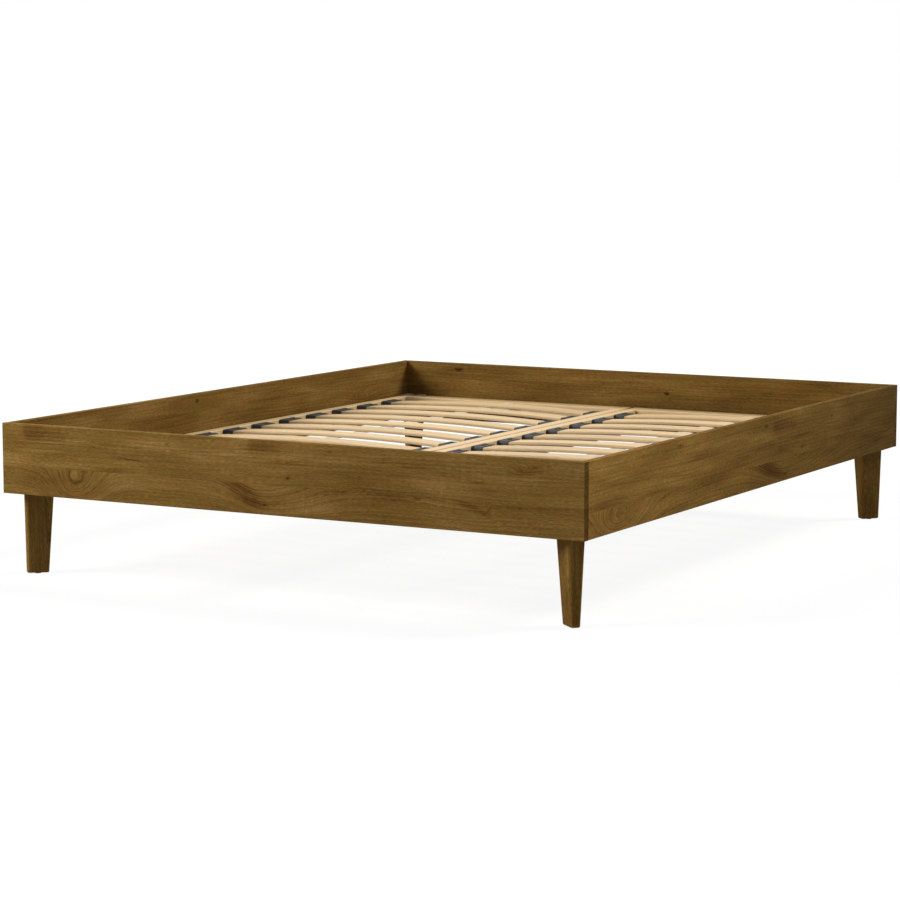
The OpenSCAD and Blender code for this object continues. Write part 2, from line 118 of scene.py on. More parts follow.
class OakFinish(bpy.types.PropertyGroup):
    shadow: chip("Darkest grain", "Dark pores and knots", 58, 39, 17)
    deep: chip("Dark grain", "Late wood and dark streaks", 92, 67, 31)
    body: chip("Body", "Main tone of the oiled oak", 116, 88, 42)
    pale: chip("Light grain", "Light streaks and worn edges", 148, 117, 70)
    red: chip("Warm tint", "Body tone where the wood is redder, as round the knots", 118, 87, 42)
    olive: chip("Green tint", "Body tone where the wood is greener", 114, 89, 42)
    ring_width: length("Ring width", "Distance between two growth rings", 0.0095)
    roughness: share("Roughness", "Roughness of the oiled face", 0.6)
    sheen: share("Sheen", "Specular level of the oiled face", 0.006)
    edge_radius: length("Edge wear", "Width of the paler band along the edges", 0.0025)


class BaseFinish(bpy.types.PropertyGroup):
    birch: chip("Birch", "Clear-coated birch veneer", 205, 176, 130)
    birch_dark: chip("Glue line", "Dark lines between the veneers", 138, 104, 66)
    pine: chip("Pine", "Planed pine of the ledges", 206, 171, 118)
    pine_ring: chip("Pine ring", "Late wood of the pine", 165, 115, 66)
    beech: chip("Beech", "Dowels", 190, 150, 105)
    tape: chip("Tape", "Woven tape under the slats", 208, 204, 192)
    stripe: chip("Stripe", "Grey stripes of the tape", 96, 98, 100)
    veneer: length("Veneer", "Thickness of one veneer of the slats", 0.0013)
    ply: length("Ply", "Thickness of one layer of the stiles and rails", 0.0035)
    slat: length("Slat", "Thickness of a slat", 0.008)
    warp: length("Warp", "Distance between two pairs of the tape's long threads", 0.0016)
    weft: length("Weft", "Distance between two pairs of the tape's cross threads", 0.0022)
    strap_thickness: length("Strap thickness", "Thickness of the woven strap", 0.0015)
    strap_bend: length("Strap bend", "Radius of the strap's turn at the end rails", 0.004)
    strap_sag: length("Strap sag", "Drop of the strap between two slats", 0.0015)
    staple_wire: length("Staple wire", "Diameter of the staples' wire", 0.0009)
    staple_crown: length("Staple crown", "Width of a staple", 0.011)


class HardwareFinish(bpy.types.PropertyGroup):
    zinc: chip("Zinc", "Zinc-plated steel", 188, 190, 192)
    paint: chip("Powder coat", "Coat of the centre beam", 78, 80, 82)
    plastic: chip("Plastic", "Moulded holders and glides", 34, 34, 36)
    scuff: chip("Scuff", "Pale scuffs and rubbed edges of the plastic", 120, 120, 122)
    zinc_roughness: share("Zinc roughness", "Roughness of the plating", 0.38)


class Studio(bpy.types.PropertyGroup):
    camera: FloatVectorProperty(
        name="Camera", description="Place of the camera", subtype="TRANSLATION", unit="LENGTH",
        default=(3.497, -6.454, 1.1605)
    )
    pan: angle("Pan", "Turn of the camera from the bed's long axis", 29.079)
    tilt: angle("Tilt", "Tilt of the camera below the horizon", 6.998)
    lens: FloatProperty(name="Lens", description="Focal length of the camera, in mm", default=108.41)
    daylight: chip("Daylight", "Tint of the soft light", 255, 253, 249)
    ambient: FloatProperty(name="Ambient", description="Strength of the light from all round", default=0.22)
    key: power("Key lamp", "Power of the lamp at the foot end", 800)
    side: power("Side lamp", "Power of the lamp at the head end", 4600)
    key_distance: length("Key distance", "Distance of the key lamp from the bed", 9.0)
    side_distance: length("Side distance", "Distance of the side lamp from the bed", 20.0)
    lamp_share: share("Lamp size", "Side of a square lamp as a share of its distance", 0.4)
    floor: share("Floor", "Brightness of the floor as it lights the bed", 0.4)
    shade: share("Shade", "Share of the floor's brightness that shadows take", 0.12)
    floor_reach: length("Floor reach", "Half the side of the floor", 40.0)
    shade_start: length("Shade start", "Distance from the bed's middle where shadows start to fade", 2.2)
    shade_end: length("Shade end", "Distance from the bed's middle where shadows are gone", 6.0)


GROUPS = {
    "bed_oak": OakFinish,
    "bed_base": BaseFinish,
    "bed_hardware": HardwareFinish,
    "bed_studio": Studio,
}


# Wiring of node trees


class Bench:
    """Adds nodes to one tree and feeds their sockets from values or other sockets."""

    def __init__(self, tree):
        self.tree = tree

    def node(self, kind, *values, **settings):
        made = self.tree.nodes.new("ShaderNode" + kind)
        for key, value in settings.items():
            setattr(made, key, value)
        for socket, value in zip(made.inputs, values):
            self.feed(socket, value)
        return made

    def feed(self, socket, value):
        if isinstance(value, bpy.types.NodeSocket):
            self.tree.links.new(value, socket)
        elif value is not None:
            socket.default_value = value

    def set(self, made, **values):
        for key, value in values.items():
            self.feed(made.inputs[key.replace("_", " ")], value)
        return made

    def math(self, operation, *values):
        return self.node("Math", *values, operation=operation).outputs[0]

    def add(self, first, *rest):
        for other in rest:
            first = self.math("ADD", first, other)
        return first

    def times(self, a, b):
        return self.math("MULTIPLY", a, b)

    def less(self, a, b):
        return self.math("SUBTRACT", a, b)

    def scaled(self, vector, *factors):
        return self.node("VectorMath", vector, factors, operation="MULTIPLY").outputs[0]

    def moved(self, vector, offset):
        return self.node("VectorMath", vector, offset, operation="ADD").outputs[0]

    def split(self, vector):
        return self.node("SeparateXYZ", vector).outputs[:3]

    def join(self, x, y, z):
        return self.node("CombineXYZ", x, y, z).outputs[0]

    def noise(self, vector, scale=1.0, detail=2.0, roughness=0.5):
        made = self.node("TexNoise", noise_dimensions="3D")
        self.set(made, Vector=vector, Scale=scale, Detail=detail, Roughness=roughness)
        return made.outputs["Fac"]

    def around(self, value, amount):
        """Turns 0 to 1 into minus to plus half the amount."""
        return self.times(self.less(value, 0.5), amount)

    def swing(self, vector, amount, **settings):
        """Noise from minus to plus half the amount."""
        return self.around(self.noise(vector, **settings), amount)

    def dice(self, vector):
        """Random colour and value, the same wherever the vector is the same."""
        return self.node("TexWhiteNoise", vector, noise_dimensions="3D").outputs

    def fade(self, value, start, end):
        """0 below start, 1 above end, with a soft step between."""
        return self.node("MapRange", value, start, end, interpolation_type="SMOOTHSTEP").outputs[0]

    def mix(self, factor, a, b, blend="MIX"):
        made = self.tree.nodes.new("ShaderNodeMix")
        made.data_type = "RGBA"
        made.blend_type = blend
        self.feed(made.inputs[0], factor)
        self.feed(made.inputs[6], (*a, 1) if isinstance(a, tuple) else a)
        self.feed(made.inputs[7], (*b, 1) if isinstance(b, tuple) else b)
        return made.outputs[2]

    def ramp(self, factor, *stops):
        """Colour ramp through (place, colour) stops."""
        made = self.node("ValToRGB", factor)
        elements = made.color_ramp.elements
        while len(elements) < len(stops):
            elements.new(0.5)
        for element, (place, colour) in zip(elements, stops):
            element.position = place
            element.color = (*colour, 1)
        return made.outputs[0]

    def group(self, tree, **values):
        made = self.tree.nodes.new("ShaderNodeGroup")
        made.node_tree = tree
        return self.set(made, **values)


KINDS = {"f": "NodeSocketFloat", "v": "NodeSocketVector", "c": "NodeSocketColor"}


def node_group(name, inputs, outputs, wire):
    """A shader node group, built at its first use.

    wire(bench, sockets) returns the value of each output.
    """
    tree = bpy.data.node_groups.get(name)
    if tree:
        return tree
    tree = bpy.data.node_groups.new(name, "ShaderNodeTree")
    for key, (kind, default) in inputs.items():
        socket = tree.interface.new_socket(key, in_out="INPUT", socket_type=KINDS[kind])
        if default is not None:
            socket.default_value = default
    for key, kind in outputs.items():
        tree.interface.new_socket(key, in_out="OUTPUT", socket_type=KINDS[kind])
    bench = Bench(tree)
    entry = tree.nodes.new("NodeGroupInput")
    leave = tree.nodes.new("NodeGroupOutput")
    sockets = {key: entry.outputs[key] for key in inputs}
    for key, value in wire(bench, sockets).items():
        bench.feed(leave.inputs[key], value)
    return tree


# Shared effects

# A knot's outline wobbles in full up to this reach. Its rings grow bolder with its swirl, up to a limit.
SMALL_KNOT = 0.014
CORE_TIGHTNESS = 1.2
BOLDEST_RINGS = 0.4
BOLD_PER_SWIRL = 25


def knot_group():
    """Bends the growth rings round one knot and darkens its core.

    The knot stands in one stave, between Bottom and Top, and adds to the Lift, Near and Dark that come in.
    Steeper is how much sooner its right side ends than its left, as a share.
    """

    def wire(b, s):
        x, _, z = b.split(s["Vector"])
        cx, _, cz = b.split(s["Centre"])
        wobble = b.swing(b.scaled(s["Vector"], 40, 40, 90), 0.7, detail=3)
        wobble = b.times(wobble, b.math("MINIMUM", b.math("DIVIDE", SMALL_KNOT, s["Length"]), 1))
        dz = b.add(b.math("DIVIDE", b.less(z, cz), s["Height"]), b.times(wobble, 0.5))
        dx = b.math("DIVIDE", b.less(x, cx), s["Length"])
        dx = b.add(dx, b.times(dz, s["Slant"]), wobble)
        dx = b.times(dx, b.add(b.times(b.math("GREATER_THAN", dx, 0), s["Steeper"]), 1))
        square = b.add(b.times(dx, dx), b.times(dz, dz))
        inside = b.times(b.math("GREATER_THAN", z, s["Bottom"]), b.math("LESS_THAN", z, s["Top"]))
        bump = b.times(b.math("EXPONENT", b.times(square, -1)), inside)
        bold = b.math("MINIMUM", b.times(s["Swirl"], BOLD_PER_SWIRL), BOLDEST_RINGS)
        core = b.math("POWER", b.times(square, CORE_TIGHTNESS), s["Edge"])
        core = b.times(b.math("EXPONENT", b.times(core, -1)), inside)
        return {
            "Lift": b.add(s["Lift"], b.times(bump, s["Swirl"])),
            "Near": b.math("MAXIMUM", s["Near"], b.times(b.times(bump, bump), bold)),
            "Dark": b.math("MAXIMUM", s["Dark"], b.times(core, s["Depth"])),
        }

    return node_group(
        "knot",
        {
            "Vector": ("v", None), "Centre": ("v", None), "Length": ("f", 0.05), "Height": ("f", 0.03),
            "Steeper": ("f", 0.0), "Slant": ("f", 0.0), "Swirl": ("f", 0.02), "Depth": ("f", 0.5),
            "Edge": ("f", 1.0), "Bottom": ("f", -9.0), "Top": ("f", 9.0), "Lift": ("f", 0.0),
            "Near": ("f", 0.0), "Dark": ("f", 0.0),
        },
        {"Lift": "f", "Near": "f", "Dark": "f"},
        wire,
    )


def growth_rings(b, s, place, stave, dice):
    """Distance from the pith, bent by the knots, and the dark line of late wood in each year's ring."""
    _, y, z = b.split(s["Vector"])
    _, pith_y, pith_z = b.split(s["Pith"])
    r1, r2, _ = b.split(dice)
    away_y = b.add(b.less(y, pith_y), b.times(r1, 0.04))
    away_z = b.add(b.less(z, pith_z), b.around(r2, 0.12))
    radius = b.math("SQRT", b.add(b.times(away_y, away_y), b.times(away_z, away_z)))
    drift = b.swing(b.scaled(place, 1.3, 3, 5), 0.035, detail=1)
    ripple = b.swing(b.scaled(place, 9, 16, 20), 0.005, detail=2)
    rings = b.add(radius, drift, ripple, s["Lift"])
    uneven = b.swing(b.join(b.times(rings, 26), stave, s["Seed"]), 2.2, detail=2)
    count = b.add(b.math("DIVIDE", rings, s["Ring Width"]), uneven)
    year = b.math("ROUND", count)
    off = b.math("ABSOLUTE", b.less(count, year))
    line = b.math("POWER", b.less(1, b.times(off, 2)), 1.5)
    strength = b.dice(b.join(year, stave, s["Seed"]))["Value"]
    return rings, b.times(line, b.add(b.times(strength, 0.8), 0.2))


def oak_colour(b, s, tone, hue):
    """Runs the tone through the oak's colours, tints it redder or greener, and multiplies in a painted
    shade.
    """
    oak = bpy.context.scene.bed_oak
    shadow, deep, body, pale, red, olive = (
        tuple(getattr(oak, key)) for key in ("shadow", "deep", "body", "pale", "red", "olive")
    )
    colour = b.ramp(tone, (0.0, shadow), (0.33, deep), (0.62, body), (1.0, pale))
    warm = b.add(b.fade(hue, 0.36, 0.64), b.times(s["Dark"], 2))
    tint = b.mix(b.math("MINIMUM", warm, 1), olive, red)
    colour = b.mix(1, colour, b.mix(1, tint, body, "DIVIDE"), "MULTIPLY")
    # painted shade: the colour is multiplied by the Shade input, which darkens one end of a board
    return b.mix(1, colour, b.join(s["Shade"], s["Shade"], s["Shade"]), "MULTIPLY")


def oak_group():
    """Oiled oak glued from up to three staves. X of the Vector runs along the grain."""

    def wire(b, s):
        x, y, z = b.split(s["Vector"])
        above_lower = b.math("GREATER_THAN", z, s["Lower Joint"])
        stave = b.add(above_lower, b.math("GREATER_THAN", z, s["Upper Joint"]))
        dice = b.dice(b.join(stave, s["Seed"], 0.5))["Color"]
        place = b.moved(s["Vector"], b.scaled(dice, 9, 3, 3))
        rings, line = growth_rings(b, s, place, stave, dice)
        flow = b.join(b.times(x, 9), b.times(rings, 190), b.times(y, 16))
        fibre = b.noise(b.moved(flow, b.scaled(dice, 50, 50, 50)), detail=4, roughness=0.62)
        flow = b.join(b.times(x, 75), b.times(rings, 620), b.times(y, 200))
        fine = b.noise(flow, detail=2, roughness=0.6)
        blotch = b.noise(b.join(b.times(x, 3), b.times(rings, 26), b.times(y, 4)), detail=3)
        patch = b.noise(b.scaled(place, 4, 12, 16), detail=3)
        hue = b.noise(b.scaled(place, 16, 60, 70), detail=4, roughness=0.65)
        fleck = b.noise(b.join(b.times(x, 240), b.times(y, 300), b.times(z, 55)), detail=1)
        fleck = b.times(b.fade(fleck, 0.6, 0.72), b.fade(patch, 0.52, 0.66))
        pores = b.noise(b.join(b.times(x, 130), b.times(rings, 2400), b.times(y, 1500)), detail=1)
        pores = b.times(b.fade(pores, 0.6, 0.7), b.add(b.times(line, 0.6), 0.3))
        tone = b.add(
            s["Tone"],
            b.times(b.less(stave, 1), 0.04),
            b.around(b.split(dice)[2], 0.05),
            b.around(fibre, 0.5),
            b.around(fine, 0.9),
            b.around(blotch, 0.5),
            b.around(patch, 0.65),
            b.times(line, b.less(b.times(s["Near"], -0.36), 0.13)),
            b.times(s["Near"], 0.11),
            b.times(pores, -0.14),
            b.times(fleck, 0.12),
        )
        tone = b.less(tone, b.times(s["Dark"], b.add(b.times(line, 0.4), 0.6)))
        tone = b.less(tone, b.times(s["End"], 0.42))
        tone = b.add(tone, b.times(s["Wear"], 0.14))
        height = b.add(b.times(fibre, 0.5), b.times(fine, 0.3), b.times(pores, -1.2), b.times(line, -0.3))
        rough = b.add(s["Roughness"], b.around(fibre, 0.22), b.times(pores, 0.2), b.times(line, 0.05))
        return {"Color": oak_colour(b, s, tone, hue), "Roughness": rough, "Height": height}

    return node_group(
        "oiled oak",
        {
            "Vector": ("v", None), "Pith": ("v", None), "Ring Width": ("f", 0.006),
            "Lower Joint": ("f", -9.0), "Upper Joint": ("f", 9.0), "Seed": ("f", 0.0), "Tone": ("f", 0.55),
            "Roughness": ("f", 0.5), "End": ("f", 0.0), "Wear": ("f", 0.0), "Lift": ("f", 0.0),
            "Near": ("f", 0.0), "Dark": ("f", 0.0), "Shade": ("f", 1.0),
        },
        {"Color": "c", "Roughness": "f", "Height": "f"},
        wire,
    )


def edge_group():
    """Mask of the edges that hands and dusters have rubbed."""

    def wire(b, s):
        rounded = b.set(b.node("Bevel", samples=6), Radius=s["Radius"])
        flat = b.node("NewGeometry").outputs["Normal"]
        facing = b.node("VectorMath", rounded.outputs[0], flat, operation="DOT_PRODUCT").outputs["Value"]
        rub = b.noise(b.node("TexCoord").outputs["Object"], scale=38, detail=3)
        mask = b.fade(b.less(1, facing), 0.02, 0.25)
        return {"Wear": b.times(mask, b.fade(rub, 0.32, 0.68))}

    return node_group("edge wear", {"Radius": ("f", 0.002)}, {"Wear": "f"}, wire)


def veneer_group():
    """Laminated birch: grain along X of the Vector, veneers stacked along the Depth."""

    def wire(b, s):
        layers = b.math("DIVIDE", s["Depth"], s["Veneer"])
        dice = b.dice(b.join(b.math("FLOOR", layers), s["Seed"], 0.3))
        place = b.moved(s["Vector"], b.scaled(dice["Color"], 7, 5, 5))
        glue = b.less(1, b.fade(b.math("PINGPONG", layers, 0.5), 0.02, 0.12))
        grain = b.noise(b.scaled(place, 6, 150, 150), detail=4, roughness=0.6)
        figure = b.noise(b.scaled(place, 2, 26, 26), detail=2)
        fine = b.noise(b.scaled(place, 40, 1100, 1100), detail=1)
        speck = b.fade(b.noise(b.scaled(place, 90, 420, 420), detail=1), 0.68, 0.76)
        tone = b.add(
            0.62,
            b.around(grain, 0.55),
            b.around(figure, 0.5),
            b.around(fine, 0.2),
            b.around(dice["Value"], 0.24),
            b.times(glue, -0.62),
            b.times(speck, -0.22),
        )
        base = bpy.context.scene.bed_base
        dark = tuple(base.birch_dark)
        light, bright = tints(base.birch, 1, 1.13)
        middle = tuple(0.45 * d + 0.55 * c for d, c in zip(dark, light))
        colour = b.ramp(tone, (0.0, dark), (0.35, middle), (0.65, light), (1.0, bright))
        height = b.add(b.times(grain, 0.5), b.times(glue, -1.0), b.times(fine, 0.3))
        rough = b.add(0.42, b.times(grain, 0.14), b.times(glue, 0.2))
        return {"Color": colour, "Roughness": rough, "Height": height}

    return node_group(
        "laminated birch",
        {"Vector": ("v", None), "Depth": ("f", 0.0), "Veneer": ("f", 0.0013), "Seed": ("f", 0.0)},
        {"Color": "c", "Roughness": "f", "Height": "f"},
        wire,
    )


# Materials

# The piece's axes, in the order that puts the grain's own axis first
AXES = {"X": (0, 1, 2), "Y": (1, 0, 2), "Z": (2, 0, 1)}
PINE_END = (0.72, 0.66, 0.6)
RUBBED_ZINC = (0.8, 0.81, 0.82)


class Finish:
    """A material with its Principled shader, its bench and the piece's own coordinates."""

    def __init__(self, name, grain="X"):
        self.material = bpy.data.materials.new(name)
        self.material.use_nodes = True
        self.bench = Bench(self.material.node_tree)
        self.shader = self.material.node_tree.nodes["Principled BSDF"]
        coords = self.bench.node("TexCoord")
        self.place = coords.outputs["Object"]
        self.uv = coords.outputs["UV"]
        parts = self.bench.split(self.place)
        self.grain = self.bench.join(*(parts[i] for i in AXES[grain]))
        facing = self.bench.split(coords.outputs["Normal"])
        along = self.bench.math("ABSOLUTE", facing[AXES[grain][0]])
        self.end = self.bench.fade(along, 0.75, 0.95)

    def wear(self, radius):
        return self.bench.group(edge_group(), Radius=radius).outputs["Wear"]

    def finish(self, colour, roughness, height, relief, **plain):
        """Feeds the shader. The relief is how deep the height's full range goes, in metres."""
        b = self.bench
        bump = b.set(b.node("Bump"), Strength=1.0, Distance=relief, Height=height)
        b.set(self.shader, Base_Color=colour, Roughness=roughness, Normal=bump.outputs[0], **plain)
        return self.material

    def finish_as(self, wood, relief, **plain):
        """Feeds the shader from a group that puts out Color, Roughness and Height."""
        colour, roughness, height = (wood.outputs[key] for key in ("Color", "Roughness", "Height"))
        return self.finish(colour, roughness, height, relief, **plain)


def oak_finish(name, grain, pith, seed, joints=(-9.0, 9.0), knots=(), tone=0.6, painted_shade_slope=0.0):
    """Oiled oak for one board or leg, with its own staves and knots.

    The joints are the heights at which its staves meet. The painted shade slope is the change per metre,
    along the grain, of a painted shade that darkens the piece towards one end in place of the lamps'
    fall-off.
    """
    oak = bpy.context.scene.bed_oak
    made = Finish(name, grain)
    b = made.bench
    lift, near, dark = 0.0, 0.0, 0.0
    for centre, (left, height, *right), slant, swirl, depth, edge, stave in knots:
        knot = b.group(
            knot_group(), Vector=made.grain, Centre=(centre[0], 0, centre[1]), Length=left, Height=height,
            Steeper=left / right[0] - 1 if right else 0.0, Slant=slant, Swirl=swirl, Depth=depth, Edge=edge,
            Bottom=stave[0], Top=stave[1], Lift=lift, Near=near, Dark=dark
        )
        lift, near, dark = (knot.outputs[key] for key in ("Lift", "Near", "Dark"))
    # painted shade: scales the colour from one end of the piece to the other, along the grain
    shade = b.add(b.times(b.split(made.grain)[0], painted_shade_slope), 1)
    wood = b.group(
        oak_group(), Vector=made.grain, Pith=pith, Ring_Width=oak.ring_width, Lower_Joint=joints[0],
        Upper_Joint=joints[1], Seed=seed, Tone=tone, Shade=shade, Roughness=oak.roughness, End=made.end,
        Wear=made.wear(oak.edge_radius), Lift=lift, Near=near, Dark=dark
    )
    return made.finish_as(wood, relief=0.00025, Specular_IOR_Level=oak.sheen)


# Staves of a board, as heights above the floor
LOW, MID, HIGH = (0.0, 0.283), (0.283, 0.3465), (0.3465, 0.5)
ALL_STAVES = (LOW[0], HIGH[1])
JOINTS = (LOW[1], MID[1])

# One row for each knot, fan of rings or dark patch:
#   centre along and up the board
#   reach along and up, and to the right where that differs from the left
#   slant, as reaches along that it leans back for each reach up
#   swirl, as the distance by which it shifts the rings
#   depth of the dark core, and how sharp the core's edge is
#   the stave it stands in
FOOT_KNOTS = (
    ((-0.601, 0.236), (0.080, 0.070, 0.095), -0.1, 0.095, 0.0, 1.0, LOW),
    ((-0.621, 0.273), (0.007, 0.018), 0.0, 0.0, 0.10, 1.0, LOW),
    ((-0.690, 0.262), (0.060, 0.020), 0.5, 0.0, 0.14, 1.0, LOW),
    ((-0.490, 0.289), (0.045, 0.0065), 0.0, 0.004, 0.34, 1.0, MID),
    ((-0.4175, 0.3188), (0.0144, 0.0062), 4.0, 0.0, 0.5, 1.0, MID),
    ((-0.210, 0.2965), (0.035, 0.0016), 0.0, 0.0, 0.3, 1.0, MID),
    ((-0.3175, 0.365), (0.005, 0.003), 0.0, 0.004, 0.5, 1.0, HIGH),
    ((-0.062, 0.294), (0.080, 0.105, 0.180), 0.6, 0.074, 0.0, 1.0, LOW),
    ((-0.090, 0.262), (0.044, 0.042, 0.036), 1.1, 0.0, 0.40, 2.0, LOW),
    ((-0.0325, 0.234), (0.013, 0.007), 0.0, 0.004, 0.30, 1.0, LOW),
    ((-0.034, 0.234), (0.006, 0.0045), 0.0, 0.0, 0.7, 1.0, LOW),
    ((0.035, 0.305), (0.013, 0.007), 0.0, 0.005, 0.25, 1.0, MID),
    ((0.034, 0.304), (0.0055, 0.0045), -0.6, 0.0, 0.9, 1.0, MID),
    ((0.035, 0.3395), (0.060, 0.004), 0.0, 0.003, 0.34, 1.0, MID),
    ((0.1875, 0.281), (0.030, 0.007), 0.0, 0.010, 0.28, 1.0, LOW),
    ((0.390, 0.2775), (0.016, 0.007), 0.0, 0.006, 0.30, 1.0, LOW),
    ((0.320, 0.2805), (0.070, 0.005), 0.0, 0.003, 0.22, 1.0, LOW),
    ((0.335, 0.3295), (0.045, 0.0018), 0.0, 0.0, 0.26, 1.0, MID),
    ((0.360, 0.285), (0.260, 0.035), 0.0, 0.0, 0.13, 1.0, ALL_STAVES),
    ((0.548, 0.300), (0.140, 0.044, 0.012), 0.2, 0.030, 0.0, 1.0, LOW),
    ((0.535, 0.270), (0.035, 0.018, 0.018), 1.2, 0.0, 0.36, 1.2, LOW),
    ((0.5675, 0.255), (0.012, 0.007), 0.0, 0.0, 0.34, 1.0, LOW),
    ((0.567, 0.254), (0.005, 0.004), 0.0, 0.0, 0.6, 1.0, LOW),
    ((0.550, 0.3275), (0.018, 0.004), 0.0, 0.003, 0.30, 1.0, MID),
    ((-0.745, 0.375), (0.016, 0.030, 0.100), 0.0, 0.0, 0.42, 1.3, HIGH),
    ((-0.070, 0.381), (0.012, 0.024, 0.100), 0.0, 0.0, 0.34, 1.3, HIGH),
    ((0.1525, 0.3735), (0.006, 0.004), 0.0, 0.003, 0.35, 1.0, HIGH),
    ((0.680, 0.362), (0.034, 0.014), -0.8, 0.012, 0.28, 1.0, HIGH),
    ((0.735, 0.376), (0.005, 0.0035), 0.0, 0.004, 0.45, 1.0, HIGH),
)

# The right side board repeats the foot board's figure, longer, lower and fainter
SIDE_STRETCH, SIDE_SHIFT = 1.795, 0.2285
SIDE_SQUEEZE, SIDE_RISE = 0.87, 0.024
SIDE_DEPTH = 0.75
SIDE_END = 0.4


def on_side(*heights):
    """Heights on the right side board of what stands this high on the foot board."""
    return tuple(up * SIDE_SQUEEZE + SIDE_RISE for up in heights)


SIDE_HIGH = on_side(*HIGH)
SIDE_JOINTS = on_side(*JOINTS)
RIGHT_KNOTS = tuple(
    (
        (along * SIDE_STRETCH + SIDE_SHIFT, *on_side(up)),
        (left * SIDE_STRETCH, height * SIDE_SQUEEZE, *(reach * SIDE_STRETCH for reach in right)),
        slant, swirl, depth * SIDE_DEPTH, edge, on_side(*stave)
    )
    for (along, up), (left, height, *right), slant, swirl, depth, edge, stave in FOOT_KNOTS
    if along < SIDE_END
) + (
    ((-0.506, 0.3725), (0.018, 0.005), 0.0, 0.004, 0.5, 1.0, SIDE_HIGH),
    ((0.036, 0.366), (0.011, 0.007), 0.0, 0.004, 0.35, 1.0, SIDE_HIGH),
)
HEAD_KNOTS = (
    ((0.52, 0.288), (0.090, 0.044), 0.0, 0.044, 0.10, 1.0, LOW),
    ((0.10, 0.330), (0.010, 0.006), 0.0, 0.006, 0.9, 2.0, MID),
    ((-0.31, 0.286), (0.060, 0.044), -0.8, 0.040, 0.20, 1.0, LOW),
    ((-0.27, 0.242), (0.010, 0.006), 0.0, 0.006, 0.9, 2.0, LOW),
    ((-0.62, 0.371), (0.016, 0.007), 0.0, 0.006, 0.6, 2.0, HIGH),
)
LEFT_KNOTS = (
    ((0.71, 0.300), (0.090, 0.026), 0.3, 0.020, 0.22, 1.0, MID),
    ((0.22, 0.286), (0.060, 0.044), -0.7, 0.040, 0.20, 1.0, LOW),
    ((0.26, 0.240), (0.011, 0.006), 0.0, 0.006, 0.9, 2.0, LOW),
    ((-0.18, 0.370), (0.010, 0.006), 0.0, 0.005, 0.8, 2.0, HIGH),
    ((-0.66, 0.318), (0.013, 0.007), 0.0, 0.006, 0.7, 2.0, MID),
)


def birch_finish(name, grain, seed=0.0):
    """Laminated birch with level layers."""
    made = Finish(name, grain)
    b = made.bench
    ply = bpy.context.scene.bed_base.ply
    # the offset sets the upper and lower faces in the middle of a layer
    depth = b.add(b.split(made.place)[2], 0.0004)
    wood = b.group(veneer_group(), Vector=made.grain, Depth=depth, Veneer=ply, Seed=seed)
    return made.finish_as(wood, relief=0.00012)


def slat_finish(name):
    """Bowed birch slat: the veneers follow the bow, and each slat has its own veneer."""
    made = Finish(name, "X")
    b = made.bench
    base = bpy.context.scene.bed_base
    lo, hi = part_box("left_slat_1")
    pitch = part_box("left_slat_2")[0].y - lo.y
    x, y, z = b.split(made.place)
    number = b.math("ROUND", b.math("DIVIDE", b.less(y, (lo.y + hi.y) / 2), pitch))
    # the bow's radius comes from its chord and its rise
    half, rise = (hi.x - lo.x) / 2, hi.z - lo.z - base.slat
    radius = (half * half + rise * rise) / (2 * rise)
    off = b.less(b.math("ABSOLUTE", x), abs(lo.x + hi.x) / 2)
    drop = b.less(z, hi.z - base.slat / 2 - radius)
    ring = b.math("SQRT", b.add(b.times(off, off), b.times(drop, drop)))
    # the offset keeps a glue line off the lower face
    depth = b.add(b.less(ring, radius - base.slat / 2), 0.0002)
    # left and right slats take numbers far apart, and each one's veneer starts elsewhere
    seed = b.add(b.times(b.math("SIGN", x), 31), number)
    place = b.moved(made.grain, b.join(b.times(seed, 3.7), 0, 0))
    wood = b.group(veneer_group(), Vector=place, Depth=depth, Veneer=base.veneer, Seed=seed)
    return made.finish_as(wood, relief=0.00012)


def pine_finish(name):
    """Planed pine with slanting rings and darker end grain."""
    made = Finish(name, "Y")
    b = made.bench
    base = bpy.context.scene.bed_base
    heart, ring_slope, ring_width = 0.76, 0.6, 0.0042
    x, y, z = b.split(made.grain)
    slant = b.times(b.less(b.math("ABSOLUTE", y), heart), ring_slope)
    rings = b.add(slant, z, b.swing(b.scaled(made.grain, 1.6, 9, 9), 0.014, detail=2))
    line = b.math("POWER", b.math("FRACT", b.math("DIVIDE", rings, ring_width)), 2.4)
    grain = b.noise(b.join(b.times(x, 9), b.times(rings, 420), b.times(y, 30)), detail=3)
    tone = b.add(b.times(line, 0.75), b.around(grain, 0.5))
    colour = b.ramp(tone, (0.0, tuple(base.pine)), (1.0, tuple(base.pine_ring)))
    colour = b.mix(made.end, colour, b.mix(1, colour, PINE_END, "MULTIPLY"))
    height = b.add(b.times(grain, 0.5), b.times(line, 0.4))
    return made.finish(colour, b.add(0.55, b.times(grain, 0.16)), height, relief=0.0002)


def beech_finish(name):
    """Raw beech with short dark flecks."""
    made = Finish(name, "Y")
    b = made.bench
    dark, plain = tints(bpy.context.scene.bed_base.beech, 0.72, 1)
    fleck = b.noise(b.scaled(made.grain, 120, 900, 900), detail=2)
    colour = b.ramp(fleck, (0.3, dark), (0.6, plain))
    return made.finish(colour, b.add(0.6, b.times(fleck, 0.15)), fleck, relief=0.0001)


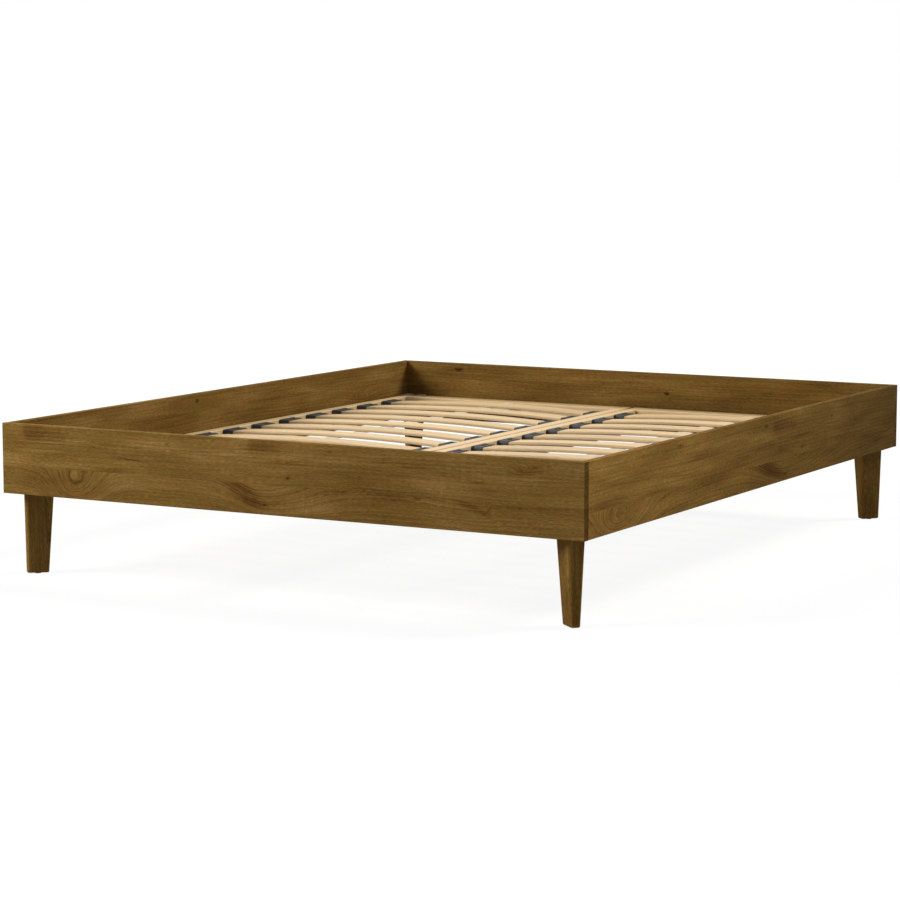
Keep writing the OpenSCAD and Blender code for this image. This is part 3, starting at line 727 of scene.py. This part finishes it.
def zinc_finish(name, scale):
    """Zinc plating with its faint crystal figure and rubbed edges. The scale sets the crystals' size."""
    made = Finish(name)
    b = made.bench
    hardware = bpy.context.scene.bed_hardware
    dark, plain, bright = tints(hardware.zinc, 0.62, 1, 1.25)
    crystals = b.set(b.node("TexVoronoi", feature="F1"), Vector=made.place, Scale=scale, Randomness=1.0)
    figure = b.split(crystals.outputs["Color"])[0]
    cloud = b.noise(made.place, scale=22, detail=4)
    grain = b.noise(made.place, scale=900, detail=2)
    tone = b.add(0.5, b.around(figure, 0.3), b.around(cloud, 0.5))
    colour = b.ramp(tone, (0.0, dark), (0.55, plain), (1.0, bright))
    colour = b.mix(b.times(made.wear(0.0012), 0.5), colour, RUBBED_ZINC)
    rough = b.add(hardware.zinc_roughness, b.around(figure, 0.14), b.around(cloud, 0.2))
    height = b.add(b.times(grain, 0.4), b.times(cloud, 0.3))
    return made.finish(colour, rough, height, relief=0.00005, Metallic=1.0)


def paint_finish(name):
    """Fine-textured powder coat, thin and bright along the rubbed edges."""
    made = Finish(name)
    b = made.bench
    dark, light, rubbed = tints(bpy.context.scene.bed_hardware.paint, 0.85, 1.15, 1.9)
    peel = b.noise(made.place, scale=1400, detail=2)
    cloud = b.noise(made.place, scale=7, detail=3)
    colour = b.ramp(b.add(b.times(peel, 0.5), b.times(cloud, 0.5)), (0.3, dark), (0.7, light))
    colour = b.mix(b.times(made.wear(0.002), 0.35), colour, rubbed)
    return made.finish(colour, b.add(0.44, b.times(cloud, 0.12)), peel, relief=0.00012)


def plastic_finish(name):
    """Moulded plastic with a fine spark-eroded face and a few pale scuffs."""
    made = Finish(name)
    b = made.bench
    hardware = bpy.context.scene.bed_hardware
    dark, light = tints(hardware.plastic, 0.8, 1.3)
    skin = b.noise(made.place, scale=2600, detail=2)
    cloud = b.noise(made.place, scale=30, detail=3)
    scuff = b.fade(b.noise(b.scaled(made.place, 160, 40, 160), detail=4), 0.6, 0.72)
    pale = b.add(b.times(scuff, 0.12), b.times(made.wear(0.0015), 0.25))
    colour = b.mix(pale, b.ramp(cloud, (0.35, dark), (0.7, light)), tuple(hardware.scuff))
    return made.finish(colour, b.add(0.5, b.times(cloud, 0.16)), skin, relief=0.00008)


def tape_finish(name):
    """Plain-woven tape, with two grey stripes at the same distance from its middle."""
    made = Finish(name)
    b = made.bench
    base = bpy.context.scene.bed_base
    dark, plain, bright = tints(base.tape, 0.5, 1, 1.15)
    lo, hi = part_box("left_webbing")
    middle, stripe_off, stripe_half, blur = (hi.x - lo.x) / 2, 0.012, 0.0008, 0.0004
    u, v, _ = b.split(made.uv)
    warp = b.math("SINE", b.times(u, 2 * math.pi / base.warp))
    weft = b.math("SINE", b.times(v, 2 * math.pi / base.weft))
    over = b.times(warp, weft)
    fuzz = b.noise(b.scaled(made.uv, 900, 900, 900), detail=3)
    dirt = b.noise(b.scaled(made.uv, 30, 9, 9), detail=3)
    away = b.math("ABSOLUTE", b.less(b.math("ABSOLUTE", b.less(u, middle)), stripe_off))
    stripe = b.less(1, b.fade(away, stripe_half, stripe_half + blur))
    tone = b.add(0.62, b.times(over, 0.16), b.around(fuzz, 0.4), b.around(dirt, 0.3))
    colour = b.ramp(tone, (0.0, dark), (0.6, plain), (1.0, bright))
    colour = b.mix(b.times(stripe, 0.55), colour, tuple(base.stripe))
    height = b.add(b.times(over, 0.5), b.times(fuzz, 0.4))
    return made.finish(colour, 0.82, height, relief=0.0003)


# Meshes

STRAP_CUTS = 7
STRAP_TURN_STEPS = 5
SAG_STEPS = 8
SLAT_STEPS = 2
WIRE_SIDES = 8
WIRE_TURN_STEPS = 3


def dress(names, material):
    """Gives CAD nodes a material and leaves their shapes alone."""
    for name in names:
        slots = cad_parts[name].data.materials
        slots.clear()
        slots.append(material)


def middle_of(part):
    """Middle of the corners of an edge or a face, as a key to sort by."""
    return tuple(sum((vert.co for vert in part.verts), Vector()) / len(part.verts))


def new_piece(name, bm, material, body):
    """Makes a smooth piece from a bmesh that is already in place."""
    # spin makes its edges and faces in an order that changes from run to run
    for parts in (bm.edges, bm.faces):
        for number, part in enumerate(sorted(parts, key=middle_of)):
            part.index = number
        parts.sort()
    mesh = bpy.data.meshes.new(name)
    for face in bm.faces:
        face.smooth = True
    bm.to_mesh(mesh)
    bm.free()
    mesh.materials.append(material)
    piece = bpy.data.objects.new(name, mesh)
    bpy.context.scene.collection.objects.link(piece)
    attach(piece, body)
    return piece


def drawn_on(bm, edges, *moves):
    """Extrudes a row of edges by each move in turn and returns the last row."""
    for move in moves:
        made = bmesh.ops.extrude_edge_only(bm, edges=edges)["geom"]
        corners = [part for part in made if isinstance(part, bmesh.types.BMVert)]
        edges = [part for part in made if isinstance(part, bmesh.types.BMEdge)]
        bmesh.ops.translate(bm, verts=corners, vec=move)
    return edges


def bent_on(bm, edges, centre, axis, angle, steps):
    """Sweeps a row of edges round an axis and returns the last row."""
    made = bmesh.ops.spin(bm, geom=edges, cent=centre, axis=axis, angle=angle, steps=steps)["geom_last"]
    return [part for part in made if isinstance(part, bmesh.types.BMEdge)]


def strap_mesh(lo, hi, slats):
    """Woven strap along Y under the slats, turned down at both ends, with its UV map in metres."""
    base = bpy.context.scene.bed_base
    half, bend = base.strap_thickness / 2, base.strap_bend
    start, end, top = lo.y + half, hi.y - half, hi.z - half
    bm = bmesh.new()
    corners = [bm.verts.new((x, start, lo.z)) for x in (lo.x, hi.x)]
    bmesh.ops.subdivide_edges(bm, edges=[bm.edges.new(corners)], cuts=STRAP_CUTS)
    row = bm.edges[:]
    row = drawn_on(bm, row, (0, 0, top - bend - lo.z))
    row = bent_on(bm, row, (0, start + bend, top - bend), (1, 0, 0), -QUARTER, STRAP_TURN_STEPS)
    stops = [start + bend, *(y for slat in slats for y in (slat[0].y, slat[1].y)), end - bend]
    spans = list(zip(stops, stops[1:]))
    for number, (near, far) in enumerate(spans):
        steps = SLAT_STEPS if number % 2 else SAG_STEPS
        row = drawn_on(bm, row, *[(0, (far - near) / steps, 0)] * steps)
    row = bent_on(bm, row, (0, end - bend, top - bend), (1, 0, 0), -QUARTER, STRAP_TURN_STEPS)
    drawn_on(bm, row, (0, 0, lo.z - top + bend))
    for near, far in spans[::2]:
        for vert in bm.verts:
            if near < vert.co.y < far and vert.co.z > top - half:
                vert.co.z -= base.strap_sag * math.sin(math.pi * (vert.co.y - near) / (far - near)) ** 2
    uv = bm.loops.layers.uv.new("strap")
    for face in bm.faces:
        for loop in face.loops:
            x, y, z = loop.vert.co
            loop[uv].uv = (x - lo.x, y + math.copysign(top - z, y))
    bmesh.ops.recalc_face_normals(bm, faces=bm.faces)
    return bm


def add_staple(bm, middle, facing):
    """Wire staple driven in at the middle against the facing, with its crown along X."""
    base = bpy.context.scene.bed_base
    radius, bend = base.staple_wire / 2, base.staple_wire
    side = Vector((1, 0, 0))
    along = side.cross(facing)
    crown = side * (base.staple_crown - 2 * bend)
    place = Vector(middle) - side * base.staple_crown / 2 - facing * bend
    turn = Matrix((side, along, facing)).transposed().to_4x4()
    ring = bmesh.ops.create_circle(
        bm, segments=WIRE_SIDES, radius=radius, cap_ends=True, matrix=Matrix.Translation(place) @ turn
    )["verts"]
    row = ring[0].link_faces[0].edges[:]
    row = drawn_on(bm, row, facing * radius)
    centre = place + facing * radius + side * bend
    row = bent_on(bm, row, centre, along, -QUARTER, WIRE_TURN_STEPS)
    row = drawn_on(bm, row, crown)
    row = bent_on(bm, row, centre + crown, along, -QUARTER, WIRE_TURN_STEPS)
    row = drawn_on(bm, row, -facing * radius)
    bmesh.ops.contextual_create(bm, geom=row)


class BedOperator(bpy.types.Operator):
    """A finishing step of the bed"""

    bl_options = {"REGISTER"}


class BED_OT_boards(BedOperator):
    """Finish the four oak boards, each with its own staves and knots"""

    bl_idname = "bed.boards"
    bl_label = "Finish the boards"

    def execute(self, context):
        # node, grain axis, pith, seed, joints, knots, tone, slope of the painted shade, which darkens the
        # foot board towards its right end and the right side board towards the head
        boards = (
            ("foot_board", "X", (0, -0.97, 0.03), 3.0, JOINTS, FOOT_KNOTS, 0.635, -0.10),
            ("head_board", "X", (0, 1.10, 0.02), 7.0, JOINTS, HEAD_KNOTS, 0.58, 0.0),
            ("left_side_board", "Y", (0, -0.74, 0.06), 12.0, JOINTS, LEFT_KNOTS, 0.58, 0.0),
            ("right_side_board", "Y", (0, 0.74, 0.01), 18.0, SIDE_JOINTS, RIGHT_KNOTS, 0.555, -0.46),
        )
        for node, grain, pith, seed, joints, knots, tone, painted_shade_slope in boards:
            dress([node], oak_finish("oak " + node, grain, pith, seed, joints, knots, tone, painted_shade_slope))
        return {"FINISHED"}


class BED_OT_legs(BedOperator):
    """Finish the four tapered legs, with the grain upright"""

    bl_idname = "bed.legs"
    bl_label = "Finish the legs"

    def execute(self, context):
        # node, seed, tone; the tones differ from leg to leg as painted light and shade, lightest on the
        # foot-left leg and darkest on the foot-right leg
        legs = (
            ("foot_left_leg", 30.0, 0.62),
            ("foot_right_leg", 31.0, 0.54),
            ("head_left_leg", 32.0, 0.56),
            ("head_right_leg", 33.0, 0.57),
        )
        for node, seed, tone in legs:
            lo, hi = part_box(node)
            # the pith stands a little outside the leg, as in timber that is sawn clear of the heart
            pith = (0, (lo.x + hi.x) / 2 + 0.05, (lo.y + hi.y) / 2 - 0.03)
            dress([node], oak_finish("oak " + node, "Z", pith, seed, tone=tone))
        return {"FINISHED"}


class BED_OT_metal(BedOperator):
    """Finish the brackets, the hangers, the fasteners and the centre beam"""

    bl_idname = "bed.metal"
    bl_label = "Finish the metal"

    def execute(self, context):
        sheet = [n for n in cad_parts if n.endswith("_bracket") or n.endswith("_hanger")]
        dress(sheet, zinc_finish("zinc sheet", 90))
        fasteners = ["frame_bolts", "threaded_inserts", "ledge_screws", "hanger_screws"]
        dress(fasteners, zinc_finish("zinc fastener", 700))
        dress(["centre_beam"], paint_finish("powder coat"))
        return {"FINISHED"}


class BED_OT_timber(BedOperator):
    """Finish the ledges and the dowels"""

    bl_idname = "bed.timber"
    bl_label = "Finish the ledges and dowels"

    def execute(self, context):
        dress(["left_ledge", "right_ledge"], pine_finish("planed pine"))
        dress(["corner_dowels"], beech_finish("raw beech"))
        return {"FINISHED"}


class BED_OT_bases(BedOperator):
    """Finish the stiles, the end rails and the bowed slats of both bases"""

    bl_idname = "bed.bases"
    bl_label = "Finish the slatted bases"

    def execute(self, context):
        stiles = [f"{side}_{place}_stile" for side in SIDES for place in ("outer", "inner")]
        rails = [f"{side}_{place}_rail" for side in SIDES for place in ("head", "foot")]
        dress(stiles, birch_finish("birch stile", "Y"))
        dress(rails, birch_finish("birch rail", "X", seed=5.0))
        dress([f"{side}_slat_{i}" for side in SIDES for i in SLATS], slat_finish("birch slat"))
        return {"FINISHED"}


class BED_OT_straps(BedOperator):
    """Weave the strap under each row of slats and staple it down"""

    bl_idname = "bed.straps"
    bl_label = "Make the straps and their staples"

    def execute(self, context):
        tape, wire = tape_finish("woven strap"), zinc_finish("staple wire", 2500)
        for side in SIDES:
            lo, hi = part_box(f"{side}_webbing")
            slats = sorted((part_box(f"{side}_slat_{i}") for i in SLATS), key=lambda box: box[0].y)
            strap = new_piece(f"{side}_strap", strap_mesh(lo, hi, slats), tape, f"{side}_base")
            thick = strap.modifiers.new("thickness", "SOLIDIFY")
            thick.thickness = context.scene.bed_base.strap_thickness
            thick.offset = 0
            edge = strap.modifiers.new("selvedge", "BEVEL")
            edge.width = thick.thickness / 4
            edge.segments = 2
            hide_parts(f"{side}_webbing")
            self.staple(side, lo, hi, slats, thick.thickness, wire)
        return {"FINISHED"}

    def staple(self, side, lo, hi, slats, thickness, wire):
        bm = bmesh.new()
        middle, under = (lo.x + hi.x) / 2, hi.z - thickness
        down = Vector((0, 0, -1))
        for near, far in slats:
            add_staple(bm, (middle, (near.y + far.y) / 2, under), down)
        quarter = (hi.x - lo.x) / 4
        for y, facing in ((lo.y + thickness, Vector((0, 1, 0))), (hi.y - thickness, Vector((0, -1, 0)))):
            for x in (middle - quarter, middle + quarter):
                add_staple(bm, (x, y, (lo.z + under) / 2), facing)
        bmesh.ops.recalc_face_normals(bm, faces=bm.faces)
        new_piece(f"{side}_staples", bm, wire, f"{side}_base")


class BED_OT_plastic(BedOperator):
    """Finish the slat holders and the glides under the legs"""

    bl_idname = "bed.plastic"
    bl_label = "Finish the plastic"

    def execute(self, context):
        dress(["left_slat_holders", "right_slat_holders"], plastic_finish("moulded holder"))
        dress(["leg_glides"], plastic_finish("moulded glide"))
        return {"FINISHED"}


def watched(b):
    """1 for what the camera, a reflection or a refraction sees, 0 for what lights the bed."""
    light = b.node("LightPath")
    eye = b.math("MAXIMUM", light.outputs["Is Camera Ray"], light.outputs["Is Glossy Ray"])
    return b.math("MAXIMUM", eye, light.outputs["Is Transmission Ray"])


class BED_OT_studio(BedOperator):
    """Set the floor, the soft lamps and the camera"""

    bl_idname = "bed.studio"
    bl_label = "Set the studio"

    def execute(self, context):
        studio = context.scene.bed_studio
        self.floor(studio)
        self.world(studio)
        middle = (CAD_BOX[0] + CAD_BOX[1]) / 2
        lamps = (
            ("key lamp", (-0.62, -0.62, 0.48), studio.key_distance, studio.key),
            ("side lamp", (0.60, 0.54, 0.72), studio.side_distance, studio.side),
        )
        for name, direction, distance, watts in lamps:
            place = middle + Vector(direction) * distance
            self.lamp(name, place, middle, distance * studio.lamp_share, watts, studio.daylight)
        camera = bpy.data.objects.new("camera", bpy.data.cameras.new("camera"))
        context.scene.collection.objects.link(camera)
        camera.location = studio.camera
        camera.rotation_euler = (QUARTER - studio.tilt, 0, studio.pan)
        camera.data.lens = studio.lens
        camera.data.sensor_width = 36
        camera.data.clip_end = 100
        context.scene.camera = camera
        context.scene.view_settings.view_transform = "Standard"
        return {"FINISHED"}

    def floor(self, studio):
        bm = bmesh.new()
        bmesh.ops.create_grid(bm, x_segments=1, y_segments=1, size=studio.floor_reach)
        mesh = bpy.data.meshes.new("floor")
        bm.to_mesh(mesh)
        bm.free()
        floor = bpy.data.objects.new("floor", mesh)
        bpy.context.scene.collection.objects.link(floor)
        material = bpy.data.materials.new("pale floor")
        material.use_nodes = True
        tree = material.node_tree
        tree.nodes.remove(tree.nodes["Principled BSDF"])
        b = Bench(tree)
        matt = b.node("BsdfDiffuse", (studio.floor, studio.floor, studio.floor, 1))
        seen = b.node("BsdfDiffuse", (studio.shade, studio.shade, studio.shade, 1))
        from_middle = b.node("VectorMath", b.node("TexCoord").outputs["Object"], operation="LENGTH")
        far = b.fade(from_middle.outputs["Value"], studio.shade_start, studio.shade_end)
        glow = b.node("Emission", (1, 1, 1, 1), b.add(1 - studio.shade, b.times(far, studio.shade)))
        paper = b.node("AddShader", seen.outputs[0], glow.outputs[0])
        both = b.node("MixShader", watched(b), matt.outputs[0], paper.outputs[0])
        below = b.node("NewGeometry").outputs["Backfacing"]
        clear = b.node("BsdfTransparent")
        out = b.node("MixShader", below, both.outputs[0], clear.outputs[0])
        b.feed(tree.nodes["Material Output"].inputs["Surface"], out.outputs[0])
        mesh.materials.append(material)

    def world(self, studio):
        world = bpy.data.worlds.new("studio")
        bpy.context.scene.world = world
        world.use_nodes = True
        tree = world.node_tree
        b = Bench(tree)
        back = tree.nodes["Background"]
        back.inputs["Color"].default_value = (1, 1, 1, 1)
        strength = b.add(b.times(watched(b), 1 - studio.ambient), studio.ambient)
        b.feed(back.inputs["Strength"], strength)

    def lamp(self, name, place, target, size, watts, colour):
        data = bpy.data.lights.new(name, "AREA")
        data.shape = "SQUARE"
        data.size = size
        data.energy = watts
        data.color = colour
        lamp = bpy.data.objects.new(name, data)
        bpy.context.scene.collection.objects.link(lamp)
        lamp.location = place
        lamp.rotation_euler = (target - place).to_track_quat("-Z", "Y").to_euler()


OPERATORS = (
    BED_OT_boards, BED_OT_legs, BED_OT_metal, BED_OT_timber, BED_OT_bases, BED_OT_straps,
    BED_OT_plastic, BED_OT_studio
)


class BED_PT_panel(bpy.types.Panel):
    """The bed's finishing steps and their settings"""

    bl_idname = "BED_PT_panel"
    bl_label = "Low oak bed frame"
    bl_space_type = "VIEW_3D"
    bl_region_type = "UI"
    bl_category = "Bed"

    def draw(self, context):
        column = self.layout.column()
        for operator in OPERATORS:
            column.operator(operator.bl_idname)
        for key, group in GROUPS.items():
            box = self.layout.box()
            for name in group.__annotations__:
                box.prop(getattr(context.scene, key), name)


CLASSES = (*GROUPS.values(), *OPERATORS, BED_PT_panel)


def register():
    for cls in CLASSES:
        bpy.utils.register_class(cls)
    for key, group in GROUPS.items():
        setattr(bpy.types.Scene, key, PointerProperty(type=group))


def unregister():
    for key in GROUPS:
        delattr(bpy.types.Scene, key)
    for cls in reversed(CLASSES):
        bpy.utils.unregister_class(cls)


def main():
    register()
    for operator in OPERATORS:
        area, name = operator.bl_idname.split(".")
        getattr(getattr(bpy.ops, area), name)()


if __name__ == "__main__":
    main()
